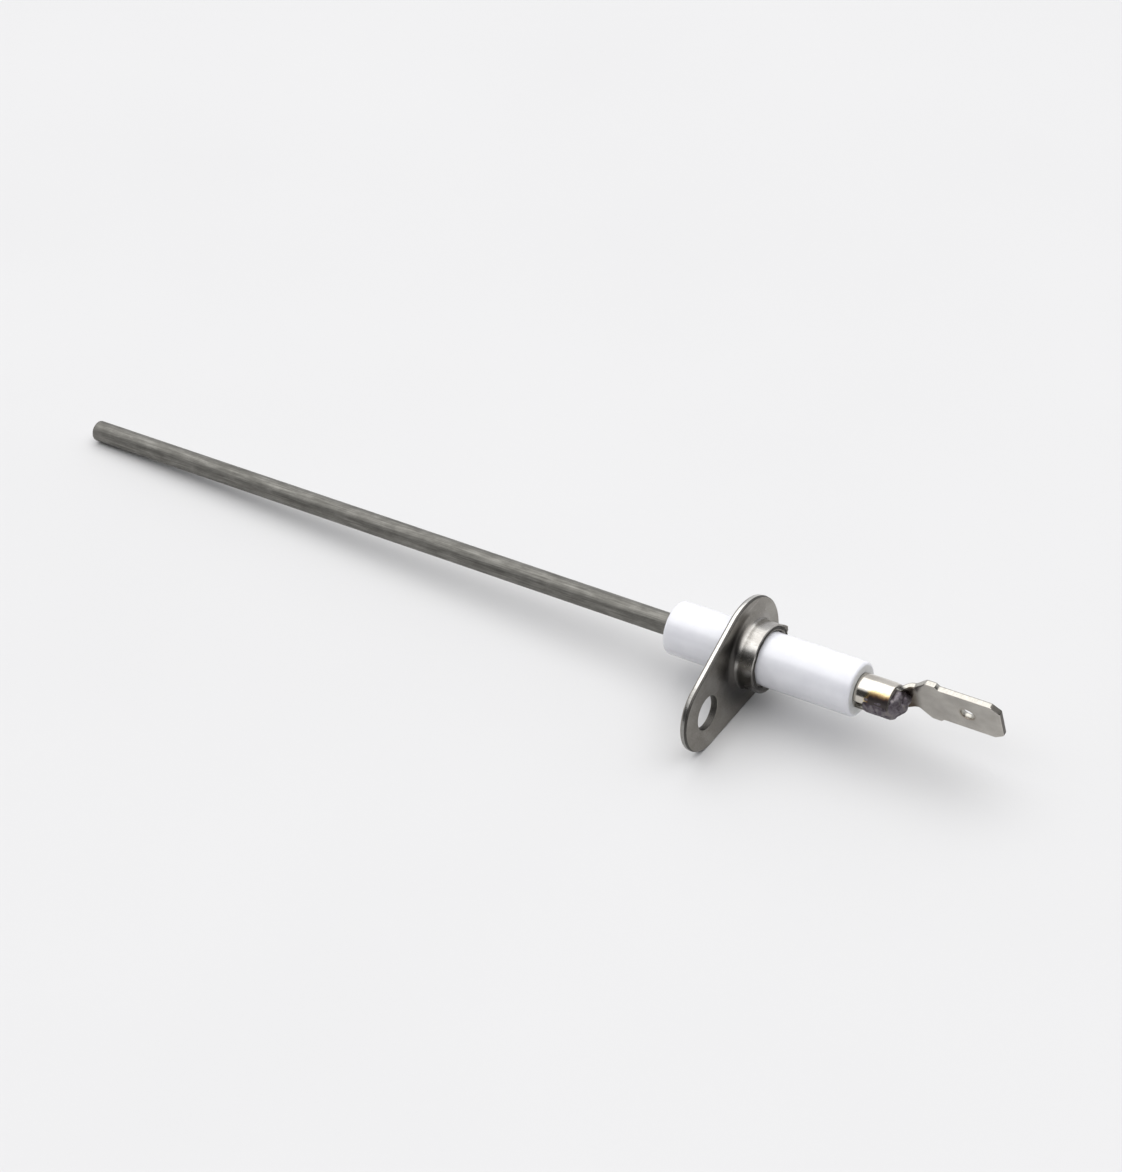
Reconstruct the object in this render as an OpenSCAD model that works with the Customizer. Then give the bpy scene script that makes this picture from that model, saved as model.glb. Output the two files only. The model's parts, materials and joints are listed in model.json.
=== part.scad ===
// Ignition electrode: a straight heat-resistant rod cemented in a ceramic tube, a drawn sheet-metal
// mounting flange round the ceramic, and a push-on tab terminal rolled and welded on the rod's end.
// The origin is on the electrode axis, in the plane of the flange's mounting face.
// +X runs along the axis from the mounting face to the terminal. The tip points to -X.
// +Z is up with the flange's straight lower flank level, as the part lies on a bench.

/* [Electrode rod] */
// Diameter of the rod
rod_d = 3; // [2.4:0.1:3.4]
// Distance of the rod's tip ahead of the mounting face
rod_reach = 109.2; // [60:0.2:160]
// Chamfer round the rod's tip
rod_chamfer = 0.35; // [0.1:0.05:0.6]

/* [Ceramic insulator] */
// Outer diameter of the ceramic tube
ceramic_d = 7.2; // [6.8:0.1:7.4]
// Length of the tube ahead of the mounting face
ceramic_front = 9.9; // [6:0.1:20]
// Length of the tube behind the mounting face
ceramic_back = 17; // [10:0.1:30]
// Rounding of the tube's two end edges
ceramic_edge = 0.4; // [0.1:0.05:0.7]
// Radial clearance between the rod and the tube's bore
bore_clearance = 0.1; // [0.05:0.01:0.2]
// Height of the cement cone that stands out of the tube's front end
front_crown = 0.35; // [0:0.05:0.8]
// Depth of the cement pocket in each end of the tube
pocket_depth = 1.5; // [0.8:0.1:3]
// Diameter of the cement pocket
pocket_d = 4.4; // [4:0.1:4.6]

/* [Mounting flange] */
// Thickness of the flange's sheet
plate_t = 1; // [0.8:0.05:1.2]
// Radius of the plate round the electrode axis
plate_big_r = 7.4; // [6.8:0.1:9]
// Radius of the plate round the screw hole
plate_small_r = 5.2; // [4:0.1:6]
// Distance from the electrode axis to the screw hole
hole_pitch = 10.7; // [9:0.1:14]
// Diameter of the screw hole, a clearance hole for an M4 screw
hole_d = 4.5; // [4.2:0.1:4.8]
// Outer diameter of the drawn collar
collar_d = 9.2; // [9:0.1:9.4]
// Distance of the collar's rim behind the mounting face
collar_h = 4.1; // [3:0.1:6]
// Radial room for cement between the collar and the ceramic
collar_room = 0.15; // [0.08:0.01:0.25]
// Outer fillet between the plate and the collar
collar_fillet = 1.1; // [0.5:0.1:1.4]
// Radius that the draw leaves round the collar's mouth in the mounting face
collar_mouth = 0.9; // [0.3:0.1:1]
// Distance of the collar's cement below the rim
cement_recess = 0.1; // [0:0.05:0.5]
// Rounding of the collar's rim, outside
rim_edge = 0.25; // [0.1:0.05:0.4]

/* [Terminal] */
// Thickness of the terminal's sheet
sheet_t = 0.8; // [0.5:0.05:1]
// Length of the barrel that is rolled round the rod
barrel_l = 4.9; // [3:0.1:8]
// Width of the barrel's seam
seam_w = 0.9; // [0.4:0.1:1.4]
// Width of the neck between the barrel and the shoulders
neck_w = 4.2; // [3.6:0.1:5]
// Width across the shoulders
shoulder_w = 7.3; // [6.8:0.1:8]
// Width of the tab's blade
blade_w = 6.3; // [5.5:0.1:6.5]
// Distance from the barrel to the shoulders' far edge
shoulder_reach = 5; // [4.8:0.1:8]
// Length of the shoulders' straight edges
shoulder_l = 1.15; // [0.5:0.05:1.3]
// Radius of the hollow where the neck starts to flare
flare_r = 0.4; // [0.2:0.1:0.6]
// Radius of the shoulders' near corners
shoulder_r = 0.5; // [0.2:0.1:0.6]
// Slope of the flare between neck and shoulders, from the axis
flare_angle = 44; // [42:1:60]
// Length of the slope from the shoulders down to the blade
shoulder_step_l = 0.35; // [0.1:0.05:0.6]
// Length of the blade ahead of the shoulders
blade_l = 8.2; // [7.5:0.1:10]
// Diameter of the detent hole in the blade
detent_d = 1.8; // [1.4:0.1:2.4]
// Distance of the detent hole's centre from the blade's end
detent_reach = 4.6; // [3.5:0.1:5.5]
// Length of the blade's corner chamfer, along the blade
blade_chamfer_l = 1.2; // [0.5:0.1:1.8]
// Width of the blade's corner chamfer, across the blade
blade_chamfer_w = 0.9; // [0.4:0.1:1.4]
// Turn of the terminal about the axis, away from square to the flange's long axis
terminal_turn = 4; // [-15:1:15]

/* [Hidden] */
$fn = 64;
small_fn = 20;
eps = 0.01;

rod_r = rod_d / 2;
bore_r = rod_r + bore_clearance;
pocket_r = pocket_d / 2;
ceramic_r = ceramic_d / 2;

// The plate's outline is two arcs joined by two straight flanks that touch both
flank_angle = asin((plate_big_r - plate_small_r) / hole_pitch);
collar_r = collar_d / 2;
collar_bore_r = ceramic_r + collar_room;
collar_root_r = collar_r + collar_fillet;

// The terminal's sheet is rolled round the rod and runs on as a flat tab that touches the rod's side
barrel_x = ceramic_back;
barrel_end = barrel_x + barrel_l;
barrel_r = rod_r + sheet_t;
shoulder_end = barrel_end + shoulder_reach;
blade_start = shoulder_end + shoulder_step_l;
blade_end = blade_start + blade_l;

// The flare is a straight slope that touches a hollow arc at the neck and a full one at the shoulder
shoulder_x = shoulder_end - shoulder_l;
flare_radii = flare_r + shoulder_r;
slope_rise = (shoulder_w - neck_w) / 2 - flare_radii * (1 - cos(flare_angle));
flare_x = shoulder_x - flare_radii * sin(flare_angle) - slope_rise / tan(flare_angle);

// Weld: a seam bead along the barrel and an end bead that joins the rod's end to the neck
seam_bead_x = barrel_x + 1.2;
seam_bead_w = 2.6;
seam_bead_t = 0.15;
end_bead_l = 1.7;
// Steps of the end bead's section, as (distance from the rod's end, radius)
end_bead_steps = [[0, 0], [0, rod_r + 0.45], [0.4, rod_r + 0.25], [0.8, rod_r - 0.2],
                  [1.4, rod_r - 0.55], [end_bead_l, 0]];

// Lays everything with the flange's lower flank level
module bench() rotate([flank_angle, 0, 0]) children();

// Lays the terminal's pieces as bench() does, with their own turn about the axis
module terminal_bench() bench() rotate([terminal_turn, 0, 0]) children();

// Turns a section about the electrode axis. The section is drawn as (distance along X, radius).
module turned() rotate([0, 90, 0]) rotate_extrude() mirror([1, -1, 0]) children();

// Rectangle from (x0, r0) to (x1, r1) of a turned section
module band(x0, x1, r0, r1) translate([x0, r0]) square([x1 - x0, r1 - r0]);

// What a rounding of radius r takes off a corner at the origin of a body in the first quadrant
module corner_cut(r) {
    difference() {
        translate([-eps, -eps]) square(r + eps);
        translate([r, r]) circle(r, $fn = small_fn);
    }
}

module electrode_rod() {
    color([0.49, 0.48, 0.46]) bench() turned() difference() {
        band(-rod_reach, barrel_end, 0, rod_r);
        translate([-rod_reach, rod_r]) rotate(45) square(rod_chamfer * sqrt(2), center = true);
    }
}

module ceramic_section() {
    difference() {
        band(-ceramic_front, ceramic_back, 0, ceramic_r);
        translate([-ceramic_front, ceramic_r]) mirror([0, 1]) corner_cut(ceramic_edge);
        translate([ceramic_back, ceramic_r]) rotate(180) corner_cut(ceramic_edge);
        band(-ceramic_front - 1, ceramic_back + 1, -1, bore_r);
        band(-ceramic_front - 1, -ceramic_front + pocket_depth, -1, pocket_r);
        band(ceramic_back - pocket_depth, ceramic_back + 1, -1, pocket_r);
    }
}

module ceramic_insulator() {
    color([0.96, 0.96, 0.97]) bench() turned() ceramic_section();
}

// The plate's outline in the (z, y) plane: two arcs and the four points where the flanks touch them
module plate_outline() {
    across = cos(flank_angle);
    along = -sin(flank_angle);
    circle(plate_big_r);
    translate([0, -hole_pitch]) circle(plate_small_r);
    polygon([
        plate_big_r * [across, along], plate_small_r * [across, along] - [0, hole_pitch],
        plate_small_r * [-across, along] - [0, hole_pitch], plate_big_r * [-across, along]]);
}

// The flat plate outside the collar's root
module plate() {
    rotate([0, 90, 0]) linear_extrude(plate_t) difference() {
        plate_outline();
        circle(collar_root_r);
        translate([0, -hole_pitch]) circle(d = hole_d);
    }
}

// The collar and its root in the plate: filleted outside, with the draw's radius at its mouth
module collar_section() {
    difference() {
        union() {
            band(0, collar_h, collar_bore_r, collar_r);
            band(0, plate_t + collar_fillet, collar_bore_r, collar_root_r);
        }
        translate([plate_t + collar_fillet, collar_root_r]) circle(collar_fillet, $fn = small_fn);
        translate([collar_h, collar_r]) rotate(180) corner_cut(rim_edge);
        translate([0, collar_bore_r]) corner_cut(collar_mouth);
    }
}

module mounting_flange() {
    color([0.42, 0.41, 0.38]) bench() {
        plate();
        turned() collar_section();
    }
}

// Thin cement film that bonds the flange's collar to the ceramic
module collar_cement() {
    color([0.78, 0.77, 0.74]) bench()
        turned() band(collar_mouth, collar_h - cement_recess, ceramic_r, collar_bore_r);
}

// Cement ring that fills a pocket, with a low cone of squeezed-out cement round the rod
module cement_section(depth, crown) {
    polygon([[0, rod_r], [0, pocket_r], [depth, pocket_r], [depth + crown, rod_r]]);
}

module front_cement_seal() {
    color([0.83, 0.82, 0.78]) bench() turned()
        translate([-ceramic_front + pocket_depth, 0]) mirror([1, 0])
            cement_section(pocket_depth, front_crown);
}

module rear_cement_seal() {
    color([0.83, 0.82, 0.78]) bench() turned()
        translate([ceramic_back - pocket_depth, 0]) cement_section(pocket_depth, 0);
}

// Points of an arc about a centre, from angle a0 to a1
function arc(centre, r, a0, a1, n = 6) =
    [for (i = [0 : n]) centre + r * [cos(a0 + (a1 - a0) * i / n), sin(a0 + (a1 - a0) * i / n)]];

// Upper half of the tab's outline, from the neck to the blade's end
function half_tab() = concat(
    [[barrel_end, neck_w / 2]],
    arc([flare_x, neck_w / 2 + flare_r], flare_r, -90, flare_angle - 90),
    arc([shoulder_x, shoulder_w / 2 - shoulder_r], shoulder_r, flare_angle + 90, 90),
    [[shoulder_end, shoulder_w / 2], [blade_start, blade_w / 2],
     [blade_end - blade_chamfer_l, blade_w / 2],
     [blade_end, blade_w / 2 - blade_chamfer_w]]);

module tab_outline() {
    difference() {
        union() {
            polygon(concat([[barrel_end, 0]], half_tab(), [[blade_end, 0]]));
            mirror([0, 1]) polygon(concat([[barrel_end, 0]], half_tab(), [[blade_end, 0]]));
        }
        translate([blade_end - detent_reach, 0]) circle(d = detent_d);
    }
}

// The barrel, a tube with a seam on the side away from the tab
module barrel() {
    difference() {
        turned() band(barrel_x, barrel_end, rod_r, barrel_r);
        translate([barrel_x - 1, -barrel_r - 1, -seam_w / 2])
            cube([barrel_l + 2, barrel_r + 1, seam_w]);
    }
}

// The flat tab, its near face touching the rod's side
module flat_tab() {
    translate([0, barrel_r, 0]) rotate([90, 0, 0]) linear_extrude(sheet_t) tab_outline();
}

module terminal_tab() {
    color([0.60, 0.58, 0.54]) terminal_bench() {
        barrel();
        flat_tab();
    }
}

// A strip of a turned band, on the seam's side and of the given width
module seam_strip(width, r0, r1) {
    intersection() {
        turned() band(seam_bead_x, barrel_end, r0, r1);
        translate([barrel_x, -r1 - 1, -width / 2]) cube([barrel_l + 1, r1 + 1, width]);
    }
}

// Blunt bead over the rod's end, up to the tab's near face
module end_bead() {
    difference() {
        turned() translate([barrel_end, 0]) polygon(end_bead_steps);
        translate([barrel_end - 1, rod_r, -barrel_r]) cube([end_bead_l + 2, barrel_r, 2 * barrel_r]);
    }
}

// The weld fills the seam, lies proud of it and runs on over the rod's end
module terminal_weld() {
    color([0.16, 0.13, 0.14]) terminal_bench() {
        seam_strip(seam_w, rod_r, barrel_r);
        seam_strip(seam_bead_w, barrel_r, barrel_r + seam_bead_t);
        end_bead();
    }
}

electrode_rod();
ceramic_insulator();
mounting_flange();
collar_cement();
front_cement_seal();
rear_cement_seal();
terminal_tab();
terminal_weld();
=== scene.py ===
"""Looks of the ignition electrode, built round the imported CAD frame.

Sections are drawn in millimetres in the frame's axes: X runs along the electrode, and angles about it
are counted from +Y towards +Z. The flange and the terminal are drawn square and then turned about X.
"""

import json
from math import asin, atan2, cos, degrees, hypot, pi, radians, sin, tan

import bmesh
import bpy
from mathutils import Matrix, Quaternion, Vector, noise


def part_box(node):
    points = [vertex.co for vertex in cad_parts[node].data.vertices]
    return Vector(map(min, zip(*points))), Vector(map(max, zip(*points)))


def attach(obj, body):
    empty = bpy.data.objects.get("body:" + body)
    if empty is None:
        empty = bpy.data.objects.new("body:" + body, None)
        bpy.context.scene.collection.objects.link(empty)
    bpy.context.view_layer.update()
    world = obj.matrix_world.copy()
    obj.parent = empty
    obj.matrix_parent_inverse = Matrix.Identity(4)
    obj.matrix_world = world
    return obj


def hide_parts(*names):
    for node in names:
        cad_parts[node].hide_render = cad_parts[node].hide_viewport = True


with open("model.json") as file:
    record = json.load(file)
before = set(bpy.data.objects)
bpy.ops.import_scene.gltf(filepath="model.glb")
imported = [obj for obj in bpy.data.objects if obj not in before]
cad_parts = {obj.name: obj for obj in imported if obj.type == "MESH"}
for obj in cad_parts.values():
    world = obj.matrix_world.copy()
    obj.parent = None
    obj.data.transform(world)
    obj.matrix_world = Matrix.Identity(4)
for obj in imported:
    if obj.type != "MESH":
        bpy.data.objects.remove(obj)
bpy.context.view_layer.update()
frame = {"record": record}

MM = 0.001
MOUNTS = {m["name"]: m for m in frame["record"]["mounts"]}


def extent(node):
    """Lowest and highest corner of a CAD node in millimetres."""
    low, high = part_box(node)
    return low / MM, high / MM


def mount_at(name):
    """Position of a mount in millimetres."""
    return Vector(MOUNTS[name]["pos_m"]) / MM


# Driving sizes, in millimetres, read from the frame
TIP_X, ROD_R = extent("electrode_rod")[0].x, extent("electrode_rod")[1].z
ROD_END = extent("electrode_rod")[1].x
CERAMIC_X0, CERAMIC_X1 = extent("ceramic_insulator")[0].x, extent("ceramic_insulator")[1].x
CERAMIC_R = extent("ceramic_insulator")[1].z
PLATE_R = extent("mounting_flange")[1].z
COLLAR_H = extent("mounting_flange")[1].x
HOLE = mount_at("screw_hole")
PITCH = hypot(HOLE.y, HOLE.z)
HOLE_R = MOUNTS["screw_hole"]["dims"]["r_mm"]
PLATE_T = MOUNTS["screw_hole"]["dims"]["length_mm"]
LUG_R = HOLE.y - extent("mounting_flange")[0].y
BENCH = atan2(-HOLE.z, -HOLE.y)
COLLAR_BORE_R = extent("collar_cement")[1].z
POCKET_R = extent("rear_cement_seal")[1].z
POCKET_DEPTH = CERAMIC_X1 - extent("rear_cement_seal")[0].x
SEAL_CROWN = CERAMIC_X0 - extent("front_cement_seal")[0].x
BLADE_END = mount_at("cable_tab").x
SHEET_MID_R = hypot(mount_at("cable_tab").y, mount_at("cable_tab").z)
SHEET_T = 2 * (SHEET_MID_R - ROD_R)
TERMINAL = atan2(mount_at("cable_tab").z, mount_at("cable_tab").y)
WELD_X0, WELD_X1 = extent("terminal_weld")[0].x, extent("terminal_weld")[1].x

# Width of the flat band that borders a rounded edge and keeps the face beside it shaded flat
MARGIN = 0.15

# Details of the flange that the frame doesn't give
COLLAR_R = 4.6
COLLAR_FILLET = 1.1
COLLAR_MOUTH = 0.9
RIM_W = COLLAR_R - COLLAR_BORE_R
# How far the sheared edges stay inside the CAD plate
SKIN = 0.003
# Rounding that the dies leave along the outline and round the screw hole
OUTLINE_ROLL, HOLE_ROLL = 0.36, 0.16
# Shares of the sheet's thickness at which the burnished band ends and the fracture is full
BURNISHED, TORN = 0.68, 0.72
# Width of the ironed lip on either side of the rim's fracture
LIP = 0.24
# Where the sliver of burr stands on the rim, and half the angle that it covers
BURR_ANGLE, BURR_SPREAD = radians(30), radians(13)

# Details of the ceramic tube that the frame doesn't give
TUBE_EDGE = 0.4
BORE_R = ROD_R + 0.1

# Details of the terminal that the frame doesn't give
SEAM_W = 0.9
CORNER_R = 0.35
NECK_W = 4.2
SHOULDER_W = 7.3
BLADE_W = 6.3
SHOULDER_END = ROD_END + 5
BLADE_START = SHOULDER_END + 0.35
CHAMFER_L, CHAMFER_W = 1.2, 0.9
FLARE_R, FLARE_ANGLE = 0.4, 44
SHOULDER_R, SHOULDER_L = 0.5, 1.15
DETENT_R, DETENT_REACH = 0.9, 4.6
# Where the barrel's roll opens out into the flat tab
UNROLL_X0, UNROLL_X1 = ROD_END - 0.02, ROD_END + 1.6
# The neck's dip towards the axis: its depth, its middle and half its length
NECK_DIP, NECK_DIP_X, NECK_DIP_SPREAD = 0.25, ROD_END + 0.8, 1.5
BARREL_R = ROD_R + SHEET_T

# The part lies on the lug's lower flank and on the rod's tip
FLOOR_SLOPE = (PLATE_R - ROD_R) / -TIP_X

# Material slots of the flange, of which the terminal has the first two and its own third
PLAIN, CUT, IRONED, BROKEN = 0, 1, 2, 3
# The terminal's third slot: a dark finish painted on its outer corners and blade end, as dark reflection
# along the edges
DARK_EDGE_SLOT = 2
# Material slot of the ceramic tube's unglazed faces
BARE = 1


# ---------------------------------------------------------------- mesh helpers

def add_loop(bm, points):
    """Vertices for a closed loop of (x, y, z) points in millimetres."""
    return [bm.verts.new(Vector(p) * MM) for p in points]


def join_loops(bm, a, b, material=PLAIN):
    """Quads between two closed loops with the same number of vertices."""
    count = len(a)
    for i in range(count):
        j = (i + 1) % count
        bm.faces.new((a[i], a[j], b[j], b[i])).material_index = material


def loop_edges(bm, loop):
    """The edges of a closed loop of vertices."""
    count = len(loop)
    return [bm.edges.get((loop[i], loop[(i + 1) % count]))
            or bm.edges.new((loop[i], loop[(i + 1) % count])) for i in range(count)]


def fill_between(bm, outer, holes):
    """A flat face inside the outer loop, with holes in it."""
    edges = loop_edges(bm, outer)
    for hole in holes:
        edges += loop_edges(bm, hole)
    bmesh.ops.triangle_fill(bm, use_beauty=True, use_dissolve=False, edges=edges)


def finish_mesh(bm, name, turn=0.0, sharp=35, weighted=False):
    """Turns a mesh about X, makes an object of it and smooths it, apart from its sharp edges.

    weighted keeps large flat faces shaded flat up to their rounded edges.
    """
    bmesh.ops.rotate(bm, cent=(0, 0, 0), matrix=Matrix.Rotation(turn, 3, "X"), verts=bm.verts)
    bmesh.ops.recalc_face_normals(bm, faces=bm.faces)
    mesh = bpy.data.meshes.new(name)
    bm.to_mesh(mesh)
    bm.free()
    mesh.shade_smooth()
    mesh.set_sharp_from_angle(angle=radians(sharp))
    piece = bpy.data.objects.new(name, mesh)
    bpy.context.scene.collection.objects.link(piece)
    if weighted:
        flat = piece.modifiers.new("flat faces stay flat", "WEIGHTED_NORMAL")
        flat.keep_sharp = True
    return piece


def place(piece, node, slot, *materials):
    """The piece stands for a CAD node, rides with the part and takes the given materials; slot is not
    used.
    """
    for material in materials:
        piece.data.materials.append(material)
    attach(piece, "root")
    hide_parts(node)
    return piece


def arc(cx, cy, r, a0, a1, steps):
    """Points of an arc about (cx, cy), angles in degrees."""
    angles = [radians(a0 + (a1 - a0) * i / steps) for i in range(steps + 1)]
    return [(cx + r * cos(a), cy + r * sin(a)) for a in angles]


def turned(bm, profile, steps, uneven=None):
    """Surface of a (x, r) profile turned about X. uneven(x, r, angle) gives the point's own (x, r)."""
    loops = []
    for x, r in profile:
        points = []
        for k in range(steps):
            a = 2 * pi * k / steps
            px, pr = uneven(x, r, a) if uneven else (x, r)
            points.append((px, pr * cos(a), pr * sin(a)))
        loops.append(add_loop(bm, points))
    for a, b in zip(loops, loops[1:]):
        join_loops(bm, a, b)
    return loops


def spread(x0, x1, r, count):
    """Profile points spread evenly along a straight stretch."""
    return [(x0 + (x1 - x0) * i / count, r) for i in range(count + 1)]


def inset(points, distance):
    """A closed outline moved inwards by a small distance, or outwards if it is negative."""
    moved = []
    count = len(points)
    for i, (x, y) in enumerate(points):
        px, py = points[i - 1]
        nx, ny = points[(i + 1) % count]
        before = Vector((x - px, y - py)).normalized()
        after = Vector((nx - x, ny - y)).normalized()
        inward = Vector((-(before.y + after.y), before.x + after.x)).normalized()
        stretch = max(0.5, inward.dot(Vector((-after.y, after.x))))
        moved.append((x + inward.x * distance / stretch, y + inward.y * distance / stretch))
    return moved


def ripple(x, y, z, size):
    """Smooth noise from -1 to 1 with lumps of the given size in millimetres."""
    return noise.noise(Vector((x, y, z)) / size)


# ---------------------------------------------------------------- material helpers

class Paint:
    """A material's node tree, with short calls for the nodes that the finishes share."""

    def __init__(self, name):
        self.material = bpy.data.materials.new(name)
        self.material.use_nodes = True
        self.tree = self.material.node_tree
        self.shader = self.tree.nodes["Principled BSDF"]
        self.coordinates = self.tree.nodes.new("ShaderNodeTexCoord").outputs["Object"]

    def node(self, kind, **settings):
        """A new node of the material's tree, with its settings."""
        made = self.tree.nodes.new(kind)
        for key, value in settings.items():
            setattr(made, key, value)
        return made

    def link(self, value, socket):
        """Links an output, or sets a constant."""
        if isinstance(value, bpy.types.NodeSocket):
            self.tree.links.new(value, socket)
        else:
            socket.default_value = value

    def scaled(self, scale):
        """Object coordinates in units of the given sizes."""
        made = self.node("ShaderNodeMapping", vector_type="POINT")
        self.link(self.coordinates, made.inputs["Vector"])
        made.inputs["Scale"].default_value = scale
        return made.outputs["Vector"]

    def grain(self, size, detail=3.0, roughness=0.55, stretch=(1, 1, 1), distortion=0.0):
        """Noise from 0 to 1 with features of the given size in millimetres."""
        made = self.node("ShaderNodeTexNoise")
        self.link(self.scaled([s / (size * MM) for s in stretch]), made.inputs["Vector"])
        made.inputs["Scale"].default_value = 1.0
        made.inputs["Detail"].default_value = detail
        made.inputs["Roughness"].default_value = roughness
        made.inputs["Distortion"].default_value = distortion
        return made.outputs["Fac"]

    def cells(self, size):
        """Distance to the nearest of scattered points, about size millimetres apart."""
        made = self.node("ShaderNodeTexVoronoi", feature="F1")
        self.link(self.scaled([1 / (size * MM)] * 3), made.inputs["Vector"])
        made.inputs["Scale"].default_value = 1.0
        return made.outputs["Distance"]

    def span(self, value, low, high, to_low=0.0, to_high=1.0, kind="LINEAR"):
        """The value's range from low to high, mapped to another range and held inside it."""
        made = self.node("ShaderNodeMapRange", interpolation_type=kind)
        self.link(value, made.inputs["Value"])
        for socket, number in zip(("From Min", "From Max", "To Min", "To Max"),
                                  (low, high, to_low, to_high)):
            made.inputs[socket].default_value = number
        return made.outputs["Result"]

    def math(self, operation, a, b):
        """The result of a two-number operation."""
        made = self.node("ShaderNodeMath", operation=operation)
        self.link(a, made.inputs[0])
        self.link(b, made.inputs[1])
        return made.outputs["Value"]

    def ramp(self, value, *stops):
        """Colours along a value: stops are (position, (r, g, b))."""
        made = self.node("ShaderNodeValToRGB")
        self.link(value, made.inputs["Fac"])
        elements = made.color_ramp.elements
        while len(elements) < len(stops):
            elements.new(0.5)
        for element, (position, colour) in zip(elements, stops):
            element.position = position
            element.color = (*colour, 1)
        return made.outputs["Color"]

    def mix(self, amount, a, b, blend="MIX"):
        """Colour a, with colour b blended over it by the amount. Either may be a constant."""
        made = self.node("ShaderNodeMix", data_type="RGBA", blend_type=blend)
        self.link(amount, made.inputs["Factor"])
        # The node's colour sockets: A and B at 6 and 7, and the result at 2
        for index, colour in ((6, a), (7, b)):
            constant = not isinstance(colour, bpy.types.NodeSocket)
            self.link((*colour, 1) if constant else colour, made.inputs[index])
        return made.outputs[2]

    def unturned(self, turn):
        """x, y and z of the surface before its piece was turned about X."""
        back = self.node("ShaderNodeMapping", vector_type="TEXTURE")
        self.link(self.coordinates, back.inputs["Vector"])
        back.inputs["Rotation"].default_value = (turn, 0, 0)
        split = self.node("ShaderNodeSeparateXYZ")
        self.link(back.outputs["Vector"], split.inputs["Vector"])
        return [split.outputs[axis] for axis in "XYZ"]

    def length(self, a, b):
        """Length of the vector (a, b)."""
        joined = self.node("ShaderNodeCombineXYZ")
        self.link(a, joined.inputs["X"])
        self.link(b, joined.inputs["Y"])
        made = self.node("ShaderNodeVectorMath", operation="LENGTH")
        self.link(joined.outputs["Vector"], made.inputs[0])
        return made.outputs["Value"]

    def bump(self, height, depth, normal=None):
        """Relief whose full height is depth millimetres."""
        made = self.node("ShaderNodeBump")
        made.inputs["Distance"].default_value = depth * MM
        self.link(height, made.inputs["Height"])
        if normal:
            self.link(normal, made.inputs["Normal"])
        return made.outputs["Normal"]

    def finish(self, colour, roughness, normal, **settings):
        """Fills in the shader and gives the finished material."""
        self.link(colour, self.shader.inputs["Base Color"])
        self.link(roughness, self.shader.inputs["Roughness"])
        self.link(normal, self.shader.inputs["Normal"])
        for key, value in settings.items():
            self.shader.inputs[key.replace("_", " ")].default_value = value
        return self.material


# Colour of the painted shade and dark reflection round the collar, on the plate and on the collar's wall
COLLAR_SHADE = (0.055, 0.052, 0.050)


def rod_finish():
    """Drawn heat-resistant wire: dull grey, with fine streaks along it and a mottled oxide skin."""
    paint = Paint("drawn_alloy")
    streaks = paint.grain(0.16, detail=4, stretch=(0.03, 1, 1))
    fine = paint.grain(0.07, detail=2, stretch=(0.12, 1, 1))
    mottle = paint.grain(1.1, detail=5, roughness=0.65, stretch=(0.5, 1, 1))
    both = paint.math("ADD", paint.math("MULTIPLY", streaks, 0.55), paint.math("MULTIPLY", mottle, 0.45))
    colour = paint.ramp(both, (0.34, (0.125, 0.122, 0.110)), (0.50, (0.195, 0.190, 0.173)),
                        (0.66, (0.29, 0.283, 0.26)))
    pits = paint.span(paint.cells(0.55), 0.0, 0.14, 1.0, 0.0)
    colour = paint.mix(paint.math("MULTIPLY", pits, 0.5), colour, (0.09, 0.08, 0.07))
    roughness = paint.span(both, 0.3, 0.7, 0.62, 0.50)
    normal = paint.bump(fine, 0.006)
    normal = paint.bump(streaks, 0.010, normal)
    return paint.finish(colour, roughness, normal, Metallic=1.0)


def ceramic_finish():
    """White alumina, glazed: a smooth gloss with a faint orange-peel and a few grey specks."""
    paint = Paint("white_glazed_alumina")
    cloud = paint.grain(3.0, detail=3)
    colour = paint.ramp(cloud, (0.35, (0.735, 0.74, 0.78)), (0.65, (0.78, 0.785, 0.82)))
    specks = paint.span(paint.cells(1.3), 0.02, 0.045, 1.0, 0.0)
    colour = paint.mix(paint.math("MULTIPLY", specks, 0.35), colour, (0.42, 0.40, 0.38))
    roughness = paint.span(paint.grain(0.8), 0.3, 0.7, 0.16, 0.26)
    normal = paint.bump(paint.grain(1.2, detail=1), 0.004)
    return paint.finish(colour, roughness, normal, Metallic=0.0, IOR=1.55,
                        Coat_Weight=0.5, Coat_Roughness=0.08)


def bare_ceramic_finish():
    """The tube's unglazed ends and bore: matt, with a fine pressed grain, and greyer than the glaze as
    painted shade on the end faces.
    """
    paint = Paint("bare_alumina")
    cloud = paint.grain(0.9, detail=4)
    colour = paint.ramp(cloud, (0.3, (0.60, 0.605, 0.605)), (0.7, (0.70, 0.705, 0.705)))
    grain = paint.grain(0.12, detail=3)
    roughness = paint.span(cloud, 0.3, 0.7, 0.62, 0.75)
    return paint.finish(colour, roughness, paint.bump(grain, 0.014), Metallic=0.0)


def cement_finish():
    """Refractory cement: matt, off-white and sandy, with small voids."""
    paint = Paint("sandy_cement")
    cloud = paint.grain(0.7, detail=5, roughness=0.6)
    colour = paint.ramp(cloud, (0.3, (0.50, 0.48, 0.43)), (0.7, (0.70, 0.68, 0.63)))
    voids = paint.span(paint.cells(0.35), 0.05, 0.2, 1.0, 0.0)
    colour = paint.mix(paint.math("MULTIPLY", voids, 0.5), colour, (0.24, 0.22, 0.20))
    sand = paint.grain(0.11, detail=4, roughness=0.7)
    roughness = paint.span(sand, 0.3, 0.7, 0.80, 0.95)
    return paint.finish(colour, roughness, paint.bump(sand, 0.03), Metallic=0.0)


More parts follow.
